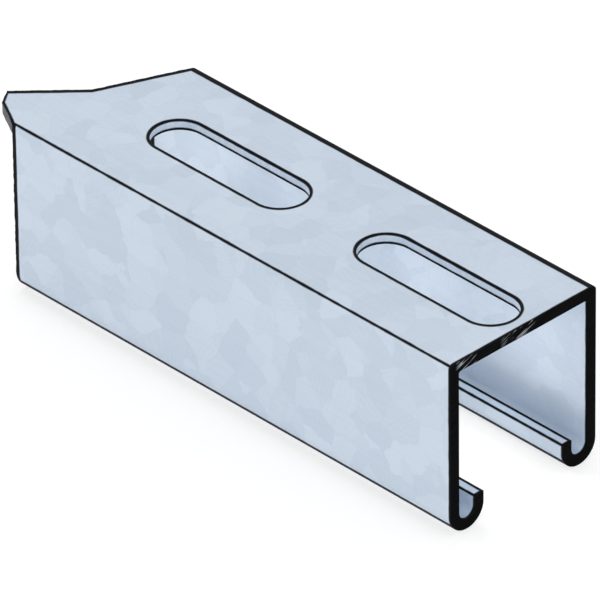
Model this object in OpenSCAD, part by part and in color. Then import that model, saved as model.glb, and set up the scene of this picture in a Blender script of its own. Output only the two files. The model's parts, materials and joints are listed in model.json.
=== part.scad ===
// Perforated strut channel: one length of steel strip, rolled to a square channel with two
// in-turned lips and punched with a row of long slots along its web.
// It stands on its lips, open side down. X runs along it and Z is up.
// The origin is the middle of its length and width, at the height of the floor.

/* [Channel] */
// Overall length, from the sawn end to the tip of the rough end
channel_len = 136; // [80:1:6096]
// Width over the two side walls
channel_w = 41.3; // [34:0.1:60]
// Height, from the underside of the lips to the back of the web
channel_h = 41.3; // [22:0.1:83]
// Thickness of the steel strip
strip_t = 2.66; // [1.5:0.01:3.2]
// Outside radius of the bend between the web and each side wall
bend_out_r = 1.2; // [0.4:0.1:3]
// Inside radius of the same bend
bend_in_r = 0.5; // [0.2:0.1:3]

/* [Lips] */
// Width of each in-turned lip, from the outer face of its side wall
lip_w = 9.5; // [8:0.1:13]
// Straight part of each lip, above its curl
lip_rise = 2.35; // [0.5:0.05:6]

/* [Slots] */
// Length of each slot, from end to end
slot_len = 41.5; // [20:0.5:60]
// Width of each slot
slot_w = 12; // [8:0.1:16]
// Solid web between one slot and the next
slot_gap = 18.5; // [6:0.5:80]
// Solid web between the sawn end and the first slot
sawn_end_gap = 3.25; // [2:0.25:40]
// Least solid web between the last slot and the rough end
rough_end_gap = 6; // [2:0.5:40]

/* [Rough end] */
// Depth of the rough end, from its tip to its deepest corner; 0 makes a square end
rough_depth = 21; // [0:0.5:30]

/* [Hidden] */
$fn = 96;

// How far each cutting shape passes the surface that it starts from
clear = 1;

half_w = channel_w / 2;
sawn_x = channel_len / 2;
tip_x = -channel_len / 2;
web_underside_z = channel_h - strip_t;
// Each lip curls under its side wall in half a round turn, as wide outside as the lip
curl_r = lip_w / 2;

slot_pitch = slot_len + slot_gap;
first_slot_x = sawn_x - sawn_end_gap - slot_len / 2;
// The last slot ends short of the rough end's deepest corner
slot_run = channel_len - sawn_end_gap - slot_len - rough_end_gap - rough_depth;
slot_count = slot_run < 0 ? 0 : 1 + floor(slot_run / slot_pitch);

// Corners of the rough end, seen from above and going across from one side to the other.
// Each has its place across the width and its distance back from the tip, as a share of
// the width and of the rough end's depth.
rough_corners = [[0, 0.45], [0.09, 0.12], [0.18, 0], [0.485, 0.57], [1, 1]];
rough_points = [
    for (corner = rough_corners) [tip_x + corner[1] * rough_depth, corner[0] * channel_w - half_w]
];
// The outline's last stretch: its end, its run, and its turn from straight across the width
last_corner = rough_points[len(rough_points) - 1];
last_run = last_corner - rough_points[len(rough_points) - 2];
last_turn = -atan2(last_run[0], last_run[1]);

// A quarter of a round hollow of radius r: what an inside bend leaves in a square corner.
// The corner is at the origin, and the hollow is up and to the right of it.
module bend_fill(r) {
    difference() {
        square(r);
        translate([r, r]) circle(r);
    }
}

// What an outside bend of radius r takes off a square corner at the origin
module bend_waste(r) {
    difference() {
        translate([-clear, -clear]) square(r + clear);
        translate([r, r]) circle(r);
    }
}

// Half of the web with one side wall, down to the top of the curl
module web_and_wall() {
    difference() {
        translate([-half_w, curl_r]) square([half_w, channel_h - curl_r]);
        difference() {
            translate([strip_t - half_w, curl_r - clear])
                square([half_w, web_underside_z - curl_r + clear]);
            translate([strip_t - half_w, web_underside_z]) mirror([0, 1]) bend_fill(bend_in_r);
        }
        translate([-half_w, channel_h]) mirror([0, 1]) bend_waste(bend_out_r);
    }
}

// One lip: its curl under the side wall, then straight up to the strip's slit edge
module lip() {
    difference() {
        translate([curl_r - half_w, curl_r]) circle(curl_r);
        translate([curl_r - half_w, curl_r]) circle(curl_r - strip_t);
        translate([-half_w - clear, curl_r]) square([lip_w + 2 * clear, lip_w]);
    }
    translate([lip_w - strip_t - half_w, curl_r]) square([strip_t, lip_rise]);
}

// The cross-section, across the width and up
module section() {
    for (side = [0, 1]) mirror([side, 0]) {
        web_and_wall();
        lip();
    }
}

// The punch for one slot, through the web
module slot_punch() {
    depth = strip_t + 2 * clear;
    half_straight = (slot_len - slot_w) / 2;
    translate([0, 0, web_underside_z - clear]) {
        for (side = [-1, 1]) translate([side * half_straight, 0, 0])
            cylinder(d = slot_w, h = depth);
        translate([-half_straight, -slot_w / 2, 0]) cube([2 * half_straight, slot_w, depth]);
    }
}

// Everything past the rough end. The web follows its outline. Below the web both side walls
// end upright, in line with the outline's first corner. The other wall starts short of that,
// from the outline's last stretch, and leans out to it at 45 degrees.
module rough_end_waste() {
    outside_x = tip_x - clear;
    outside_y = half_w + clear;
    first_x = rough_points[0][0];
    reach = channel_w + rough_depth;
    translate([0, 0, web_underside_z]) linear_extrude(strip_t + clear)
        polygon(concat(
            [[outside_x, -outside_y], [first_x, -outside_y]],
            rough_points,
            [[last_corner[0], outside_y], [outside_x, outside_y]]
        ));
    translate([outside_x, -outside_y, -clear])
        cube([first_x - outside_x, 2 * outside_y, web_underside_z + clear]);
    translate([last_corner[0], last_corner[1], web_underside_z]) rotate([90, 0, last_turn])
        linear_extrude(2 * reach, center = true)
            polygon([[0, 0], [-reach, 0], [-reach, -reach]]);
}

module strut_channel() {
    color([0.78, 0.83, 0.88]) difference() {
        rotate([90, 0, 90]) linear_extrude(channel_len, center = true) section();
        if (slot_count > 0) for (i = [0 : slot_count - 1])
            translate([first_slot_x - i * slot_pitch, 0, 0]) slot_punch();
        rough_end_waste();
    }
}

strut_channel();
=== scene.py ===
import json
from math import ceil, cos, radians, sin, sqrt, tau

import bmesh
import bpy
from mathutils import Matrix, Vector, noise


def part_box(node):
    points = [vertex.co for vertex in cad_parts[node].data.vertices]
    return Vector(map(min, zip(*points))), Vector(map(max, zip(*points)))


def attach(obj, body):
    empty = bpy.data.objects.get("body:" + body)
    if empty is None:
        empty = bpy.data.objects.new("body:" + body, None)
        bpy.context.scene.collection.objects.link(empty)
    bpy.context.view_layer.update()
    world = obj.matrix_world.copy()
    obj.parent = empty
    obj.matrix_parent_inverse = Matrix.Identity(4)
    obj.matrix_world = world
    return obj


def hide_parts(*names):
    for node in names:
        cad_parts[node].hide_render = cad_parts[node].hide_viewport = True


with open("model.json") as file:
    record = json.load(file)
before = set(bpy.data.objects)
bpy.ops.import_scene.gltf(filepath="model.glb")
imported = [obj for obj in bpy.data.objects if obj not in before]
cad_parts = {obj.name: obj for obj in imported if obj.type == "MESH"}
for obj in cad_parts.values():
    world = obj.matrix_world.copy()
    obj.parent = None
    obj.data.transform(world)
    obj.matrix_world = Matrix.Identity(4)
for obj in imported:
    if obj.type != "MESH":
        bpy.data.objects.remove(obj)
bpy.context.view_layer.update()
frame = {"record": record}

# A length of perforated strut channel, standing on its lips, open side down.
# X runs along it and Z is up. Every length is in metres.
MM = 0.001

# ---- sizes that the frame gives ---------------------------------------------------------

low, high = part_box("strut_channel")
mounts = {mount["name"]: mount for mount in frame["record"]["mounts"]}
slot_row = mounts["web_slots"]

SAWN_X = high.x
TIP_X = low.x
HALF_W = high.y
TOP = high.z
WEB_UNDERSIDE = mounts["web_inside"]["pos_m"][2]
STRIP_T = TOP - WEB_UNDERSIDE
LIP_TOP = mounts["lip_edge_plus_y"]["pos_m"][2]
LIP_FACE_Y = mounts["lip_edge_plus_y"]["pos_m"][1] - STRIP_T / 2
LIP_BACK_Y = LIP_FACE_Y + STRIP_T
CURL_R = (HALF_W - LIP_FACE_Y) / 2
SLOT_R = slot_row["dims"]["hole_r_mm"] * MM
SLOT_HALF_STRAIGHT = slot_row["dims"]["slot_length_mm"] * MM / 2 - SLOT_R
SLOT_PITCH = slot_row["dims"]["spacing_x_mm"] * MM
SLOT_COUNT = slot_row["dims"]["count"]
SLOT_CENTRES = [
    slot_row["pos_m"][0] + SLOT_PITCH * (i - (SLOT_COUNT - 1) / 2) for i in range(SLOT_COUNT)
]

# ---- sizes of its own -------------------------------------------------------------------

# Bends between the web and the side walls
BEND_OUT_R = 1.2 * MM
BEND_IN_R = 0.5 * MM

# The rough end: its depth, and its corners seen from above, as shares of the width and of
# that depth
ROUGH_DEPTH = 21 * MM
ROUGH_CORNERS = [(0, 0.45), (0.09, 0.12), (0.18, 0), (0.485, 0.57), (1, 1)]
ROUGH_POINTS = [
    Vector((TIP_X + back * ROUGH_DEPTH, (2 * across - 1) * HALF_W))
    for across, back in ROUGH_CORNERS
]
# Below the web both side walls end in line with the rough end's first corner. The other wall
# starts at its last stretch and leans out to there at 45 degrees. Then come the way that the
# last stretch runs and the way that it faces.
WALLS_X = ROUGH_POINTS[0].x
LAST_STRETCH = (ROUGH_POINTS[-1] - ROUGH_POINTS[-2]).normalized()
LAST_FACING = Vector((LAST_STRETCH.y, -LAST_STRETCH.x))

# How edges are finished: the round that the punch rolls into a slot's rim, the small break
# on its burr side, the round of the strip's slit edges, and the filed break at the sawn end
PUNCH_ROUND = 0.35 * MM
BURR_BREAK = 0.12 * MM
SLIT_ROUND = 0.3 * MM
SAWN_BREAK = 0.12 * MM

# How many flats make up each arc. A curl has an odd number, so it stands on a level one.
BEND_STEPS = 8
INNER_BEND_STEPS = 6
CURL_STEPS = 21
INNER_CURL_STEPS = 24
SLOT_END_STEPS = 32

# How a broken face is torn: the size of its facets, how deep it is bitten on average, and the
# sizes of the coarse and the fine bites, with the share of the depth that the fine ones have
TEAR_FACET = 0.4 * MM
TEAR_DEPTH = 0.15 * MM
COARSE_TEAR = 1.1 * MM
FINE_TEAR = 0.45 * MM
FINE_TEAR_SHARE = 0.4

# The dark worn lines along the edges, and the painted contact shadow low on each curl: half
# the width of a line, and how much more than that each kind of line has to either side
WORN_AND_SHADE_REACH = 0.6 * MM
FIRST_BEND_MORE = -0.18 * MM
OTHER_BEND_MORE = 0.5 * MM
# The curls' lines are painted contact shadow: dark bands low on each curl, where it meets the
# floor
CURL_SHADE_MORE = 0.85 * MM
RIM_MORE = 0.07 * MM
BURR_MORE = 0.14 * MM
ROUGH_WALL_MORE = 0.75 * MM
# The same along each stretch of the web's rough end
ROUGH_WEB_MORE = [0.2 * MM, 0.2 * MM, 0.75 * MM, 0.75 * MM]
# The lines along the web's two bends, and the painted contact shadow along both sides of each
# curl, lean this far from the top of their rounds
FIRST_BEND_LEAN = radians(45)
OTHER_BEND_LEAN = radians(5)
CURL_SHADE_LEAN = radians(127)
# Slots and lips are rubbed this far to one side of their edges
RUBBED_ASIDE = 0.3 * MM
# Points this near to an outer face are on it
SIDE_REACH = 0.3 * MM
# The web's lines go down to here, a little below its underside
WEB_LINES_END = WEB_UNDERSIDE - STRIP_T / 4
# A line's width varies between these shares over patches of this size, and it is solid to
# this share of its width
RAGGED_LEAST, RAGGED_MOST = 0.9, 1.1
RAGGED_PATCH = 3.3 * MM
SOLID_SHARE = 0.6

# How far a cutting shape passes the surface that it starts from, and how far it keeps from a
# face, or passes another cut, that it would otherwise just touch
CLEAR = 1 * MM
SLIP = 0.05 * MM
# Well outside the tip of the rough end, and outside the side walls
OUTSIDE_X = TIP_X - 3 * CLEAR
OUTSIDE_Y = HALF_W + CLEAR
# Points nearer than this are the same point, and after a cut, points nearer than the second
SAME = 1e-6
SAME_AFTER_CUT = SAME / 10
# Faces that meet at less than this angle shade as one surface
SMOOTH_ANGLE = radians(35)
# How far a round of radius 1 stays from the square corner that it takes off, and how far a
# point one unit above a 45 degree slope is from it
CORNER_GAP = sqrt(2) - 1
SLOPE_GAP = sqrt(0.5)

# The usual lowest and highest values of a noise texture, and the mean of random colours
NOISE_RANGE = (0.3, 0.7)
MEAN_COLOUR = (0.5, 0.5, 0.5)
# Where a mix node has the colour below, the colour above and their mix
MIX_UNDER, MIX_OVER, MIXED = 6, 7, 2

# The zinc's crystals: how dense and how far their outlines stray, in crystals, how close their
# fronds are, and how wide and how dark their seams are
STRAY_DENSITY = 2.5
STRAY_REACH = 0.35
FROND_DENSITY = 110
SEAM_REACH = 0.06
SEAM_DARKENING = 0.2
# Rolled lines are this many times as long as they are wide
LINE_STRETCH = 67
# Sizes along X, Y and Z of the haze on the zinc, the punch's strokes, the saw's lines and the
# scratches on the sawn end
HAZE_PATCH = (36 * MM, 25 * MM, 25 * MM)
STROKE_PATCH = (0.45 * MM, 0.45 * MM, 3.8 * MM)
SAW_LINE_PATCH = (1, 17 * MM, 0.38 * MM)
SCRATCH_PATCH = (1, 5.3 * MM, 0.3 * MM)

# Colours of the finishes
ZINC_SHADE = (0.52, 0.60, 0.70)
ZINC_LIGHT = (0.625, 0.705, 0.805)
# This black is worn and torn steel, and also the painted contact shadow low on the curls
BLACK_STEEL_AND_SHADE = (0.008, 0.009, 0.011)
BRIGHT_ZINC = (0.78, 0.82, 0.87)
SAWN_BLACK = (0.002, 0.002, 0.002)
SAWN_GREY = (0.005, 0.005, 0.006)
TORN_LIGHT = (0.16, 0.165, 0.18)

# Roughness of the finishes, from their dull spots to their bright ones
ZINC_ROUGH = (0.57, 0.33)
PUNCHED_ROUGH = (0.55, 0.35)
SAWN_ROUGH = (0.7, 0.5)
TORN_ROUGH = (0.65, 0.45)
WORN_AND_SHADE_ROUGH = 0.7

# How metallic the finishes are, and how strongly the rest of them reflects
ZINC_METALLIC = 0.4
WORN_AND_SHADE_METALLIC = 0.8
TORN_METALLIC = 0.5
ZINC_SPECULAR = 0.2
SAWN_SPECULAR = 0.01

# How deep their relief is
ZINC_RELIEF = 0.006 * MM
PUNCHED_RELIEF = 0.03 * MM
SAWN_RELIEF = 0.008 * MM
TORN_RELIEF = 0.12 * MM

# A slot's wall is burnished down to the first depth and broken below the second, and the
# punch's strokes carry both down by up to their reach
LAND_DEPTH = 0.58 * MM
BREAK_DEPTH = 0.88 * MM
STROKE_REACH = 0.24 * MM

# The scratches on the sawn end: how they slant, the noise from which one starts and from which
# it is at its brightest, how bright that is, and the stretches of the web that have them, each
# with its middle and its reach to either side
SCRATCH_SLANT = radians(-21)
SCRATCH_RARITY = (0.74, 0.94)
SCRATCH_BRIGHTNESS = 0.5
SCRATCHED = [(-16 * MM, 3 * MM), (-1.5 * MM, 5 * MM)]

# The studio. Each lamp has its turn from -Y and its height, in degrees, and its power.
LAMPS = {
    "by_sawn_end": (62, 8, 6),
    "by_first_side": (10, 18, 6.5),
    "by_other_side": (190, 20, 3),
    "by_rough_end": (262, 18, 3),
}
LAMP_SIZE = 1.2
LAMP_DISTANCE = 2
INSIDE_LAMPS = 4
INSIDE_LAMP_POWER = 0.008
INSIDE_LAMP_COLOUR = (1, 0.94, 0.86)
ROOM_LIGHT = 0.88
FLOOR_REACH = 4
# The floor's paint where it takes light, its paint where it is looked at, and its glow there
FLOOR_PAINT = 0.8
FLOOR_SHOWN_PAINT = 0.42
FLOOR_GLOW = 0.64

# The camera: its turn from -Y, its height and its roll, in degrees, its lens in millimetres,
# its distance, and the point that it faces
CAMERA_TURN = 46.1
CAMERA_HEIGHT = 33.6
CAMERA_ROLL = -0.7
CAMERA_LENS = 696
CAMERA_DISTANCE = 2.346
CAMERA_AIM = Vector((7.7 * MM, -3.4 * MM, TOP / 2))


# ---- tracing and cutting ----------------------------------------------------------------


def straight(bm, vert, **place):
    """Draws a straight line on from a vertex. place names the coordinates that change."""
    end = bmesh.ops.extrude_vert_indiv(bm, verts=[vert])["verts"][0]
    for name, value in place.items():
        setattr(end.co, name, value)
    return end


def bend(bm, vert, centre, axis, angle, steps):
    """Draws an arc on from a vertex, round a centre."""
    arc = bmesh.ops.spin(
        bm, geom=[vert], cent=centre, axis=axis, angle=angle, steps=steps, use_duplicate=False
    )
    return next(part for part in arc["geom_last"] if isinstance(part, bmesh.types.BMVert))


def draw_out(bm, offset):
    """Fills a closed outline, draws it out into a solid, and returns the edges drawn."""
    bmesh.ops.remove_doubles(bm, verts=bm.verts[:], dist=SAME)
    face = bmesh.ops.contextual_create(bm, geom=bm.edges[:])["faces"][0]
    drawn = bmesh.ops.extrude_face_region(bm, geom=[face])["geom"]
    moved = {part for part in drawn if isinstance(part, bmesh.types.BMVert)}
    bmesh.ops.translate(bm, verts=list(moved), vec=offset)
    bmesh.ops.recalc_face_normals(bm, faces=bm.faces[:])
    return [edge for edge in bm.edges if (edge.verts[0] in moved) != (edge.verts[1] in moved)]


def as_object(bm, name, *finishes):
    """Turns a traced mesh into an object with these finishes."""
    mesh = bpy.data.meshes.new(name)
    bm.to_mesh(mesh)
    bm.free()
    for finish in finishes:
        mesh.materials.append(finish)
    made = bpy.data.objects.new(name, mesh)
    bpy.context.collection.objects.link(made)
    return made


def opened(piece):
    """The piece's mesh for more work, with its doubled points merged."""
    bm = bmesh.new()
    bm.from_mesh(piece.data)
    bmesh.ops.remove_doubles(bm, verts=bm.verts[:], dist=SAME_AFTER_CUT)
    return bm


def closed(piece, bm):
    """Puts a worked mesh back into its piece."""
    bm.to_mesh(piece.data)
    bm.free()


def cut_away(blank, cutter):
    """Takes a cutting shape out of the blank. The cut gets the cutter's finish."""
    cut = blank.modifiers.new("cut", "BOOLEAN")
    cut.operation = "DIFFERENCE"
    cut.solver = "EXACT"
    cut.material_mode = "TRANSFER"
    cut.object = cutter
    result = blank.evaluated_get(bpy.context.evaluated_depsgraph_get())
    mesh = bpy.data.meshes.new_from_object(result)
    blank.modifiers.remove(cut)
    blank.data = mesh
    bpy.data.objects.remove(cutter)


def round_edges(bm, belongs, width, segments):
    """Rounds the square edges for which belongs is true."""
    edges = [
        edge for edge in bm.edges
        if len(edge.link_faces) == 2 and edge.calc_face_angle() > SMOOTH_ANGLE and belongs(edge)
    ]
    bmesh.ops.bevel(
        bm, geom=edges, offset=width, offset_type="OFFSET", affect="EDGES",
        segments=segments, profile=0.5, material=-1, clamp_overlap=True,
    )


# ---- the channel ------------------------------------------------------------------------


def rolled_section(bm):
    """Traces the closed cross-section at the sawn end: one half, then its mirror image."""
    side = HALF_W - BEND_OUT_R
    inner_side = HALF_W - STRIP_T - BEND_IN_R
    curl = (SAWN_X, HALF_W - CURL_R, CURL_R)
    along = (1, 0, 0)
    vert = bm.verts.new((SAWN_X, 0, TOP))
    vert = straight(bm, vert, y=side)
    vert = bend(bm, vert, (SAWN_X, side, TOP - BEND_OUT_R), along, -tau / 4, BEND_STEPS)
    vert = straight(bm, vert, z=CURL_R)
    vert = bend(bm, vert, curl, along, -tau / 2, CURL_STEPS)
    vert = straight(bm, vert, z=LIP_TOP)
    vert = straight(bm, vert, y=LIP_BACK_Y)
    vert = straight(bm, vert, z=CURL_R)
    vert = bend(bm, vert, curl, along, tau / 2, INNER_CURL_STEPS)
    vert = straight(bm, vert, z=WEB_UNDERSIDE - BEND_IN_R)
    inner_bend = (SAWN_X, inner_side, WEB_UNDERSIDE - BEND_IN_R)
    vert = bend(bm, vert, inner_bend, along, tau / 4, INNER_BEND_STEPS)
    straight(bm, vert, y=0)
    bmesh.ops.mirror(bm, geom=bm.verts[:] + bm.edges[:], axis="Y", merge_dist=SAME)


def rolled_blank(skin, sawn):
    """The whole section drawn out along X, with the saw's finish on its sawn end."""
    bm = bmesh.new()
    rolled_section(bm)
    draw_out(bm, (TIP_X - SAWN_X, 0, 0))
    for face in bm.faces:
        face.material_index = int(face.normal.x > cos(SMOOTH_ANGLE))
    return as_object(bm, "rolled_channel", skin, sawn)


def slot_punch(centre_x, punched):
    """The punch for one slot."""
    base = WEB_UNDERSIDE - CLEAR
    ahead = centre_x + SLOT_HALF_STRAIGHT
    behind = centre_x - SLOT_HALF_STRAIGHT
    upright = (0, 0, 1)
    bm = bmesh.new()
    first = bm.verts.new((ahead, -SLOT_R, base))
    vert = bend(bm, first, (ahead, 0, base), upright, tau / 2, SLOT_END_STEPS)
    vert = straight(bm, vert, x=behind)
    vert = bend(bm, vert, (behind, 0, base), upright, tau / 2, SLOT_END_STEPS)
    bm.edges.new((vert, first))
    draw_out(bm, (0, 0, STRIP_T + 2 * CLEAR))
    return as_object(bm, "punch", punched)


def tear(outline, depth, torn):
    """A block drawn out from an outline, whose broken sides leave a rough cut."""
    bm = bmesh.new()
    verts = [bm.verts.new(point) for point in outline]
    for start, end in zip(verts, verts[1:] + verts[:1]):
        bm.edges.new((start, end))
    for edge in bm.edges[:]:
        cuts = ceil(edge.calc_length() / TEAR_FACET)
        bmesh.ops.subdivide_edges(bm, edges=[edge], cuts=cuts)
    drawn = draw_out(bm, depth)
    bmesh.ops.subdivide_edges(bm, edges=drawn, cuts=ceil(Vector(depth).length / TEAR_FACET))
    for vert in bm.verts:
        coarse = noise.noise(vert.co / COARSE_TEAR)
        fine = noise.noise(vert.co / FINE_TEAR)
        vert.co.x += TEAR_DEPTH * max(0, 1 + coarse + FINE_TEAR_SHARE * fine)
    return as_object(bm, "tear", torn)


def web_tear(torn):
    """Breaks the web off along the rough end's outline."""
    outline = [(OUTSIDE_X, -OUTSIDE_Y), (WALLS_X, -OUTSIDE_Y)]
    outline += [point[:] for point in ROUGH_POINTS]
    outline += [(ROUGH_POINTS[-1].x, OUTSIDE_Y), (OUTSIDE_X, OUTSIDE_Y)]
    base = [(x, y, WEB_UNDERSIDE - 2 * SLIP) for x, y in outline]
    return tear(base, (0, 0, STRIP_T + CLEAR), torn)


def walls_tear(torn):
    """Breaks both side walls and their lips off below the web."""
    top = WEB_UNDERSIDE - SLIP
    corners = [(OUTSIDE_X, -CLEAR), (WALLS_X, -CLEAR), (WALLS_X, top), (OUTSIDE_X, top)]
    base = [(x, -OUTSIDE_Y, z) for x, z in corners]
    return tear(base, (0, 2 * OUTSIDE_Y, 0), torn)


def lean_tear(torn):
    """Breaks the other wall off along the line that leans out from the web."""
    along = LAST_STRETCH.to_3d()
    outwards = -ROUGH_DEPTH * LAST_FACING.to_3d()
    start = ROUGH_POINTS[-1].to_3d() + Vector((0, 0, WEB_UNDERSIDE - SLIP)) + CLEAR * along
    down = Vector((0, 0, -ROUGH_DEPTH))
    return tear([start, start + outwards, start + outwards + down], -ROUGH_DEPTH * along, torn)


def lies_at(edge, level):
    return all(abs(vert.co.z - level) < SAME for vert in edge.verts)


def on_slot_rim(edge, level):
    return lies_at(edge, level) and all(abs(v.co.y) < SLOT_R + SAME for v in edge.verts)


def on_slit_edge(edge):
    runs_along = abs(edge.verts[0].co.x - edge.verts[1].co.x) > CLEAR
    return runs_along and lies_at(edge, LIP_TOP)


def on_sawn_rim(edge):
    return all(abs(vert.co.x - SAWN_X) < SAME for vert in edge.verts)


def build_channel(skin, punched, sawn, torn):
    channel = rolled_blank(skin, sawn)
    for centre_x in SLOT_CENTRES:
        cut_away(channel, slot_punch(centre_x, punched))

    bm = opened(channel)
    round_edges(bm, lambda edge: on_slot_rim(edge, TOP), PUNCH_ROUND, segments=3)
    round_edges(bm, lambda edge: on_slot_rim(edge, WEB_UNDERSIDE), BURR_BREAK, segments=2)
    round_edges(bm, on_slit_edge, SLIT_ROUND, segments=3)
    round_edges(bm, on_sawn_rim, SAWN_BREAK, segments=1)
    closed(channel, bm)

    for broken_off in (web_tear, walls_tear, lean_tear):
        cut_away(channel, broken_off(torn))

    bm = opened(channel)
    # A spare point on a rim can make a sliver that folds back on the face beside it. One such
    # pair is left, near the corner where the web's tear meets the leaning one.
    spare = [vert for vert in bm.verts if len(vert.link_edges) == 2]
    bmesh.ops.dissolve_verts(bm, verts=spare)
    for face in bm.faces:
        face.smooth = True
    for edge in bm.edges:
        edge.smooth = edge.calc_face_angle(0) < SMOOTH_ANGLE
    closed(channel, bm)
    flats = channel.modifiers.new("flats stay flat", "WEIGHTED_NORMAL")
    flats.keep_sharp = True
    return channel


# ---- nodes ------------------------------------------------------------------------------


def feed(socket, value):
    """Sets an input, or links it where the value is another node's output."""
    if isinstance(value, bpy.types.NodeSocket):
        socket.id_data.links.new(value, socket)
    else:
        socket.default_value = value


def add(tree, kind, inputs=None, **settings):
    made = tree.nodes.new("ShaderNode" + kind)
    for name, value in settings.items():
        setattr(made, name, value)
    for name, value in (inputs or {}).items():
        feed(made.inputs[name], value)
    return made


def calculate(tree, operation, *values):
    made = add(tree, "Math", operation=operation)
    for socket, value in zip(made.inputs, values):
        feed(socket, value)
    return made.outputs["Value"]


def spread(tree, value, start, end, low=0.0, high=1.0):
    """Carries a value from low to high as it goes from start to end, and no further."""
    inputs = {"Value": value, "From Min": start, "From Max": end, "To Min": low, "To Max": high}
    return add(tree, "MapRange", inputs).outputs["Result"]


def between(tree, share, low, high):
    """Carries a share from 0 to 1 to a value from low to high."""
    return spread(tree, share, 0.0, 1.0, low, high)


def blend(tree, share, under, over):
    """Mixes two colours."""
    made = add(tree, "Mix", data_type="RGBA")
    feed(made.inputs["Factor"], share)
    for socket, colour in zip((made.inputs[MIX_UNDER], made.inputs[MIX_OVER]), (under, over)):
        feed(socket, (*colour, 1) if isinstance(colour, tuple) else colour)
    return made.outputs[MIXED]


def weighted_sum(tree, *weighted):
    """Adds up values, each times the weight beside it."""
    total = 0.0
    for value, weight in weighted:
        total = calculate(tree, "MULTIPLY_ADD", value, weight, total)
    return total


def in_patches(tree, position, size):
    """Measures a position in patches of one size."""
    density = calculate(tree, "DIVIDE", 1.0, size)
    made = add(tree, "VectorMath", {"Vector": position, "Scale": density}, operation="SCALE")
    return made.outputs["Vector"]


def in_long_patches(tree, position, sizes):
    """Measures a position in patches that have a size of their own along X, Y and Z."""
    inputs = {"Vector": position, "Scale": [1 / size for size in sizes]}
    return add(tree, "Mapping", inputs).outputs["Vector"]


def grain_noise(tree, patches, detail=2.0):
    """Noise over patches, which mostly goes all the way from 0 to 1."""
    inputs = {"Vector": patches, "Scale": 1.0, "Detail": detail}
    return spread(tree, add(tree, "TexNoise", inputs).outputs["Fac"], *NOISE_RANGE)


def new_group(name, inputs, outputs):
    """A node group. Returns its tree, what it is given and what it puts out."""
    tree = bpy.data.node_groups.new(name, "ShaderNodeTree")
    for label, kind in inputs.items():
        tree.interface.new_socket(label, in_out="INPUT", socket_type="NodeSocket" + kind)
    for label in outputs:
        tree.interface.new_socket(label, in_out="OUTPUT", socket_type="NodeSocketFloat")
    given = tree.nodes.new("NodeGroupInput").outputs
    result = tree.nodes.new("NodeGroupOutput").inputs
    return tree, given, result


def use(tree, group, **inputs):
    """Places a group in a material and returns its outputs."""
    return add(tree, "Group", inputs, node_tree=group).outputs


# ---- effects ----------------------------------------------------------------------------


def hypotenuse(tree, across, up):
    """The distance that a step across and a step up make."""
    squares = calculate(tree, "MULTIPLY_ADD", up, up, calculate(tree, "MULTIPLY", across, across))
    return calculate(tree, "SQRT", squares)


def gap_to_line(tree, across, up, line_across, line_up, round_r):
    """How far a point is from a rounded edge that runs straight at it."""
    side = calculate(tree, "SUBTRACT", across, line_across)
    rise = calculate(tree, "SUBTRACT", up, line_up)
    return calculate(tree, "SUBTRACT", hypotenuse(tree, side, rise), round_r * CORNER_GAP)


def gap_to_round_line(tree, y, z, centre, round_r, lean):
    """How far a point is from the line that runs along a round, at a lean from its top."""
    line_y = centre[0] + round_r * sin(lean)
    line_z = centre[1] + round_r * cos(lean)
    return gap_to_line(tree, y, z, line_y, line_z, 0.0)


def gap_to_stretch(tree, across, up, start, end):
    """How far a point is from the straight stretch between two points."""
    run = end - start
    side = calculate(tree, "SUBTRACT", across, start.x)
    rise = calculate(tree, "SUBTRACT", up, start.y)
    shadow = calculate(tree, "MULTIPLY", side, run.x / run.length_squared)
    shadow = calculate(tree, "MULTIPLY_ADD", rise, run.y / run.length_squared, shadow)
    share = spread(tree, shadow, 0.0, 1.0)
    side = calculate(tree, "MULTIPLY_ADD", share, -run.x, side)
    rise = calculate(tree, "MULTIPLY_ADD", share, -run.y, rise)
    return hypotenuse(tree, side, rise)


def gap_to_slot_rim(tree, x, y, z, centre_x, level, round_r):
    """How far a point is from the rounded rim of a slot at one level."""
    ahead = calculate(tree, "ABSOLUTE", calculate(tree, "SUBTRACT", x, centre_x))
    ahead = calculate(tree, "MAXIMUM", calculate(tree, "SUBTRACT", ahead, SLOT_HALF_STRAIGHT), 0.0)
    outwards = calculate(tree, "SUBTRACT", hypotenuse(tree, ahead, y), SLOT_R)
    return gap_to_line(tree, outwards, z, 0.0, level, round_r)


def widened(tree, gap, more):
    """Brings a line nearer by more, so that the wear along it is that much wider."""
    return calculate(tree, "SUBTRACT", gap, more)


def gaps_to_rough_end(tree, x, y, z):
    """How far a point is from the line along each stretch of the web's and walls' rough end."""
    below_web = calculate(tree, "LESS_THAN", z, WEB_LINES_END)
    in_web = calculate(tree, "SUBTRACT", 1.0, below_web)
    gaps = []
    for start, end, more in zip(ROUGH_POINTS, ROUGH_POINTS[1:], ROUGH_WEB_MORE):
        gap = widened(tree, gap_to_stretch(tree, x, y, start, end), more)
        gaps.append(calculate(tree, "ADD", gap, below_web))
    # The line at the walls' end runs up their outer faces, past the level of the web
    on_side = calculate(tree, "GREATER_THAN", calculate(tree, "ABSOLUTE", y), HALF_W - SIDE_REACH)
    left_out = calculate(tree, "MAXIMUM", calculate(tree, "SUBTRACT", in_web, on_side), 0.0)
    upright = calculate(tree, "SUBTRACT", x, WALLS_X + ROUGH_WALL_MORE)
    gaps.append(calculate(tree, "ADD", upright, left_out))

    offset = -LAST_FACING.dot(ROUGH_POINTS[-1]) + WEB_UNDERSIDE
    leaning = calculate(tree, "MULTIPLY_ADD", x, LAST_FACING.x, offset)
    leaning = calculate(tree, "MULTIPLY_ADD", y, LAST_FACING.y, leaning)
    leaning = calculate(tree, "MULTIPLY", calculate(tree, "SUBTRACT", leaning, z), SLOPE_GAP)
    leaning = widened(tree, leaning, ROUGH_WALL_MORE)
    first_side = calculate(tree, "LESS_THAN", y, 0.0)
    gaps.append(calculate(tree, "ADD", leaning, calculate(tree, "ADD", in_web, first_side)))
    return gaps


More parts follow.
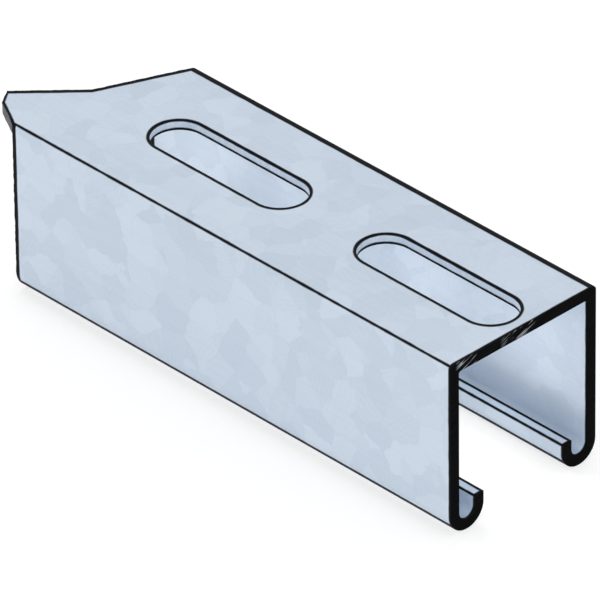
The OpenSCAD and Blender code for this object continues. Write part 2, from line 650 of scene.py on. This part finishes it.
def edge_wear_and_curl_shade():
    """Puts out 1 on every edge of the channel and on the painted contact shadow low on the curls,
    fading to 0 at the given width from them.
    """
    inputs = {"Position": "Vector", "Width": "Float"}
    tree, given, result = new_group("edge wear", inputs, ["Mask"])
    axes = add(tree, "SeparateXYZ", {"Vector": given["Position"]}).outputs
    x, y, z = axes["X"], axes["Y"], axes["Z"]
    gaps = [calculate(tree, "SUBTRACT", SAWN_X, x)]
    bends = (-1, FIRST_BEND_LEAN, FIRST_BEND_MORE), (1, OTHER_BEND_LEAN, OTHER_BEND_MORE)
    for side, lean, more in bends:
        centre = (side * (HALF_W - BEND_OUT_R), TOP - BEND_OUT_R)
        line = gap_to_round_line(tree, y, z, centre, BEND_OUT_R, side * lean)
        gaps.append(widened(tree, line, more))
    aside = calculate(tree, "ABSOLUTE", y)
    # Painted contact shadow: a dark band low on both sides of each curl, where it meets the floor
    for lean in (CURL_SHADE_LEAN, -CURL_SHADE_LEAN):
        line = gap_to_round_line(tree, aside, z, (HALF_W - CURL_R, CURL_R), CURL_R, lean)
        gaps.append(widened(tree, line, CURL_SHADE_MORE))

    # Slots and lips are rubbed a little to one side of their edges
    rubbed_x = calculate(tree, "SUBTRACT", x, RUBBED_ASIDE)
    rubbed_y = calculate(tree, "ADD", y, RUBBED_ASIDE)
    for edge_y in (-LIP_BACK_Y, -LIP_FACE_Y, LIP_FACE_Y, LIP_BACK_Y):
        gaps.append(gap_to_line(tree, rubbed_y, z, edge_y, LIP_TOP, SLIT_ROUND))
    for centre_x in SLOT_CENTRES:
        rim = gap_to_slot_rim(tree, rubbed_x, rubbed_y, z, centre_x, TOP, PUNCH_ROUND)
        gaps.append(widened(tree, rim, RIM_MORE))
        burr = gap_to_slot_rim(tree, x, y, z, centre_x, WEB_UNDERSIDE, BURR_BREAK)
        gaps.append(widened(tree, burr, BURR_MORE))
    gaps += gaps_to_rough_end(tree, x, y, z)

    nearest = gaps[0]
    for gap in gaps[1:]:
        nearest = calculate(tree, "MINIMUM", nearest, gap)
    ragged = grain_noise(tree, in_patches(tree, given["Position"], RAGGED_PATCH))
    ragged = between(tree, ragged, RAGGED_LEAST, RAGGED_MOST)
    width = calculate(tree, "MULTIPLY", given["Width"], ragged)
    solid = calculate(tree, "MULTIPLY", width, SOLID_SHARE)
    feed(result["Mask"], spread(tree, nearest, width, solid))
    return tree


def zinc_crystals():
    """Puts out a tone for each crystal of the zinc, fine fronds in it, and its seams."""
    inputs = {"Position": "Vector", "Size": "Float"}
    tree, given, result = new_group("zinc crystals", inputs, ["Tone", "Frond", "Seam"])
    cells = in_patches(tree, given["Position"], given["Size"])
    stray = add(tree, "TexNoise", {"Vector": cells, "Scale": STRAY_DENSITY, "Detail": 3.0})
    inputs = {0: stray.outputs["Color"], 1: [STRAY_REACH] * 3, 2: cells}
    cells = add(tree, "VectorMath", inputs, operation="MULTIPLY_ADD").outputs["Vector"]
    crystal = add(tree, "TexVoronoi", {"Vector": cells, "Scale": 1.0}).outputs["Color"]
    seam = add(tree, "TexVoronoi", {"Vector": cells, "Scale": 1.0}, feature="DISTANCE_TO_EDGE")

    # Each crystal's fronds run their own way, which its random colour gives
    way = add(tree, "VectorMath", {0: crystal, 1: MEAN_COLOUR}, operation="SUBTRACT")
    run = add(tree, "VectorMath", {0: way.outputs["Vector"], 1: cells}, operation="DOT_PRODUCT")
    wave = calculate(tree, "MULTIPLY", run.outputs["Value"], FROND_DENSITY)
    feed(result["Tone"], add(tree, "SeparateColor", {"Color": crystal}).outputs["Red"])
    feed(result["Frond"], spread(tree, calculate(tree, "SINE", wave), -1.0, 1.0))
    feed(result["Seam"], spread(tree, seam.outputs["Distance"], SEAM_REACH, 0.0))
    return tree


def rolled_lines():
    """Puts out fine lines along X, as the rolls leave them."""
    inputs = {"Position": "Vector", "Spacing": "Float"}
    tree, given, result = new_group("rolled lines", inputs, ["Tone"])
    lines = in_long_patches(tree, given["Position"], (LINE_STRETCH, 1, 1))
    feed(result["Tone"], grain_noise(tree, in_patches(tree, lines, given["Spacing"]), detail=4.0))
    return tree


def speckle():
    """Puts out an even, fine grain."""
    inputs = {"Position": "Vector", "Size": "Float"}
    tree, given, result = new_group("speckle", inputs, ["Tone"])
    dots = in_patches(tree, given["Position"], given["Size"])
    feed(result["Tone"], grain_noise(tree, dots, detail=3.0))
    return tree


# ---- finishes ---------------------------------------------------------------------------


def new_finish(name):
    """A material, its shader and the position on the piece that its patterns follow."""
    material = bpy.data.materials.new(name)
    material.use_nodes = True
    tree = material.node_tree
    shader = tree.nodes["Principled BSDF"]
    position = tree.nodes.new("ShaderNodeTexCoord").outputs["Object"]
    return material, tree, shader, position


def relief(tree, shader, height, depth):
    """Gives a finish its fine relief, this deep where the height is 1."""
    bump = add(tree, "Bump", {"Height": height, "Distance": depth})
    feed(shader.inputs["Normal"], bump.outputs["Normal"])


def blacken_wear_and_shade(tree, shader, mask, colour, rough):
    """Turns a zinc finish black where the mask is 1: blackened steel on worn edges, and painted
    contact shadow low on the curls.
    """
    feed(shader.inputs["Base Color"], blend(tree, mask, colour, BLACK_STEEL_AND_SHADE))
    feed(shader.inputs["Roughness"], between(tree, mask, rough, WORN_AND_SHADE_ROUGH))
    feed(shader.inputs["Metallic"], between(tree, mask, ZINC_METALLIC, WORN_AND_SHADE_METALLIC))
    shader.inputs["Specular IOR Level"].default_value = ZINC_SPECULAR


def zinc_skin(effects):
    """Galvanised strip: pale zinc crystals, rolled lines along it, dark worn edges, and painted
    contact shadow low on the curls.
    """
    material, tree, shader, position = new_finish("galvanised skin")
    crystals = use(tree, effects["crystals"], Position=position, Size=6 * MM)
    lines = use(tree, effects["lines"], Position=position, Spacing=0.9 * MM)["Tone"]
    dots = use(tree, effects["speckle"], Position=position, Size=0.35 * MM)["Tone"]
    worn_and_shaded = use(tree, effects["wear"], Position=position, Width=WORN_AND_SHADE_REACH)["Mask"]
    haze = grain_noise(tree, in_long_patches(tree, position, HAZE_PATCH))

    tones = (crystals["Tone"], 0.55), (crystals["Frond"], 0.13), (lines, 0.18), (haze, 0.1)
    tone = weighted_sum(tree, *tones)
    colour = blend(tree, tone, ZINC_SHADE, ZINC_LIGHT)
    colour = blend(tree, between(tree, crystals["Seam"], 0.0, SEAM_DARKENING), colour, ZINC_SHADE)
    gloss = weighted_sum(tree, (tone, 0.7), (dots, 0.3))
    blacken_wear_and_shade(tree, shader, worn_and_shaded, colour, between(tree, gloss, *ZINC_ROUGH))
    height = weighted_sum(tree, (lines, 1.0), (dots, 0.25), (crystals["Seam"], -0.4))
    relief(tree, shader, height, ZINC_RELIEF)
    return material


def punched_steel(effects):
    """A slot's wall: a bright band that the punch burnished, above a duller broken one."""
    material, tree, shader, position = new_finish("punched wall")
    level = add(tree, "SeparateXYZ", {"Vector": position}).outputs["Z"]
    strokes = grain_noise(tree, in_long_patches(tree, position, STROKE_PATCH), detail=3.0)
    dots = use(tree, effects["speckle"], Position=position, Size=0.2 * MM)["Tone"]
    worn_and_shaded = use(tree, effects["wear"], Position=position, Width=WORN_AND_SHADE_REACH)["Mask"]
    land = calculate(tree, "MULTIPLY_ADD", strokes, STROKE_REACH, level)
    land = spread(tree, land, TOP - BREAK_DEPTH, TOP - LAND_DEPTH)

    tone = weighted_sum(tree, (land, 0.5), (strokes, 0.5))
    colour = blend(tree, tone, ZINC_SHADE, ZINC_LIGHT)
    blacken_wear_and_shade(tree, shader, worn_and_shaded, colour, between(tree, land, *PUNCHED_ROUGH))
    broken = calculate(tree, "MULTIPLY", dots, calculate(tree, "SUBTRACT", 1.0, land))
    relief(tree, shader, weighted_sum(tree, (broken, 1.0), (strokes, 0.4)), PUNCHED_RELIEF)
    return material


def scratches(tree, position, slant):
    """Fine bright scratches across the stretches of the web that have them."""
    axes = add(tree, "SeparateXYZ", {"Vector": position}).outputs
    reached = 0.0
    for middle, reach in SCRATCHED:
        away = calculate(tree, "ABSOLUTE", calculate(tree, "SUBTRACT", axes["Y"], middle))
        reached = calculate(tree, "MAXIMUM", spread(tree, away, reach, reach / 2), reached)
    in_web = calculate(tree, "GREATER_THAN", axes["Z"], WEB_UNDERSIDE)
    lines = grain_noise(tree, in_long_patches(tree, slant, SCRATCH_PATCH), detail=0.0)
    lines = calculate(tree, "MULTIPLY", spread(tree, lines, *SCRATCH_RARITY), in_web)
    return calculate(tree, "MULTIPLY", lines, reached)


def sawn_steel(effects):
    """The sawn end: blackened steel with the saw's fine lines and a few bright scratches."""
    material, tree, shader, position = new_finish("sawn end")
    slant = add(tree, "Mapping", {"Vector": position, "Rotation": (SCRATCH_SLANT, 0, 0)})
    slant = slant.outputs["Vector"]
    lines = grain_noise(tree, in_long_patches(tree, slant, SAW_LINE_PATCH))
    dots = use(tree, effects["speckle"], Position=position, Size=0.3 * MM)["Tone"]
    colour = blend(tree, lines, SAWN_BLACK, SAWN_GREY)
    bright = between(tree, scratches(tree, position, slant), 0.0, SCRATCH_BRIGHTNESS)
    feed(shader.inputs["Base Color"], blend(tree, bright, colour, BRIGHT_ZINC))
    feed(shader.inputs["Roughness"], between(tree, dots, *SAWN_ROUGH))
    shader.inputs["Specular IOR Level"].default_value = SAWN_SPECULAR
    relief(tree, shader, lines, SAWN_RELIEF)
    return material


def torn_steel(effects):
    """The rough end: dark broken steel, with lighter flecks on its high points."""
    material, tree, shader, position = new_finish("torn end")
    coarse = use(tree, effects["speckle"], Position=position, Size=0.9 * MM)["Tone"]
    fine = use(tree, effects["speckle"], Position=position, Size=0.22 * MM)["Tone"]
    tone = weighted_sum(tree, (coarse, 0.5), (fine, 0.5))
    feed(shader.inputs["Base Color"], blend(tree, tone, BLACK_STEEL_AND_SHADE, TORN_LIGHT))
    feed(shader.inputs["Roughness"], between(tree, fine, *TORN_ROUGH))
    shader.inputs["Metallic"].default_value = TORN_METALLIC
    relief(tree, shader, tone, TORN_RELIEF)
    return material


# ---- studio -----------------------------------------------------------------------------


def shown(tree):
    """Puts out 1 where a surface is looked at, in a gloss and through glass too, and else 0."""
    path = tree.nodes.new("ShaderNodeLightPath").outputs
    direct = calculate(tree, "MAXIMUM", path["Is Camera Ray"], path["Is Glossy Ray"])
    return calculate(tree, "MAXIMUM", direct, path["Is Transmission Ray"])


def white_room(strength):
    """A plain white surround. It lights the object at this strength and shows as white."""
    world = bpy.data.worlds.new("studio")
    bpy.context.scene.world = world
    world.use_nodes = True
    tree = world.node_tree
    tree.nodes.clear()
    level = between(tree, shown(tree), strength, 1.0)
    white = add(tree, "Background", {"Color": (1, 1, 1, 1), "Strength": level})
    add(tree, "OutputWorld", {"Surface": white.outputs[0]})


def white_floor():
    """A pale floor whose glow shows but lights nothing dull. Its paint keeps the shadow."""
    material = bpy.data.materials.new("white floor")
    material.use_nodes = True
    tree = material.node_tree
    tree.nodes.clear()
    shade = between(tree, shown(tree), FLOOR_PAINT, FLOOR_SHOWN_PAINT)
    glow = between(tree, shown(tree), 0.0, FLOOR_GLOW)
    paint = add(tree, "BsdfDiffuse", {"Color": shade}).outputs[0]
    light = add(tree, "Emission", {"Color": (1, 1, 1, 1), "Strength": glow}).outputs[0]
    both = add(tree, "AddShader", {0: paint, 1: light}).outputs[0]
    add(tree, "OutputMaterial", {"Surface": both})
    return material


def lay_floor():
    bm = bmesh.new()
    bmesh.ops.create_grid(bm, x_segments=1, y_segments=1, size=FLOOR_REACH)
    as_object(bm, "floor", white_floor())


def towards(turn, height):
    """The direction that is turned this far from -Y and is this high, both in degrees."""
    turn, height = radians(turn), radians(height)
    return Vector((sin(turn) * cos(height), -cos(turn) * cos(height), sin(height)))


def aim_from(thing, target, away, distance):
    """Puts a lamp or the camera at a distance from a target, facing it."""
    bpy.context.collection.objects.link(thing)
    thing.location = target + distance * away
    thing.rotation_euler = away.to_track_quat("Z", "Y").to_euler()


def soft_lamp(name, turn, height, power):
    """A broad lamp that leaves no glare: a gloss shows the white room in its place."""
    light = bpy.data.lights.new(name, "AREA")
    light.shape = "DISK"
    light.size = LAMP_SIZE
    light.energy = power
    lamp = bpy.data.objects.new(name, light)
    lamp.visible_glossy = False
    aim_from(lamp, Vector(), towards(turn, height), LAMP_DISTANCE)


def inside_lamps():
    """A row of small soft lamps along the inside of the channel, to fill it with light."""
    for i in range(INSIDE_LAMPS):
        light = bpy.data.lights.new("inside", "POINT")
        light.shadow_soft_size = LIP_FACE_Y / 2
        light.energy = INSIDE_LAMP_POWER
        light.color = INSIDE_LAMP_COLOUR
        lamp = bpy.data.objects.new("inside", light)
        lamp.visible_camera = lamp.visible_glossy = False
        bpy.context.collection.objects.link(lamp)
        share = (i + 0.5) / INSIDE_LAMPS
        lamp.location = (WALLS_X + share * (SAWN_X - WALLS_X), 0, (WEB_UNDERSIDE + LIP_TOP) / 2)


def set_camera():
    camera = bpy.data.objects.new("camera", bpy.data.cameras.new("camera"))
    camera.data.lens = CAMERA_LENS
    aim_from(camera, CAMERA_AIM, towards(CAMERA_TURN, CAMERA_HEIGHT), CAMERA_DISTANCE)
    camera.rotation_euler.rotate_axis("Z", radians(CAMERA_ROLL))
    bpy.context.scene.camera = camera


# ---- the scene --------------------------------------------------------------------------

set_camera()
white_room(ROOM_LIGHT)
lay_floor()
for name, (turn, height, power) in LAMPS.items():
    soft_lamp(name, turn, height, power)
inside_lamps()

effects = {
    "wear": edge_wear_and_curl_shade(),
    "crystals": zinc_crystals(),
    "lines": rolled_lines(),
    "speckle": speckle(),
}
channel = build_channel(
    zinc_skin(effects), punched_steel(effects), sawn_steel(effects), torn_steel(effects)
)
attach(channel, "root")
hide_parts("strut_channel")

bpy.context.scene.view_settings.view_transform = "Standard"
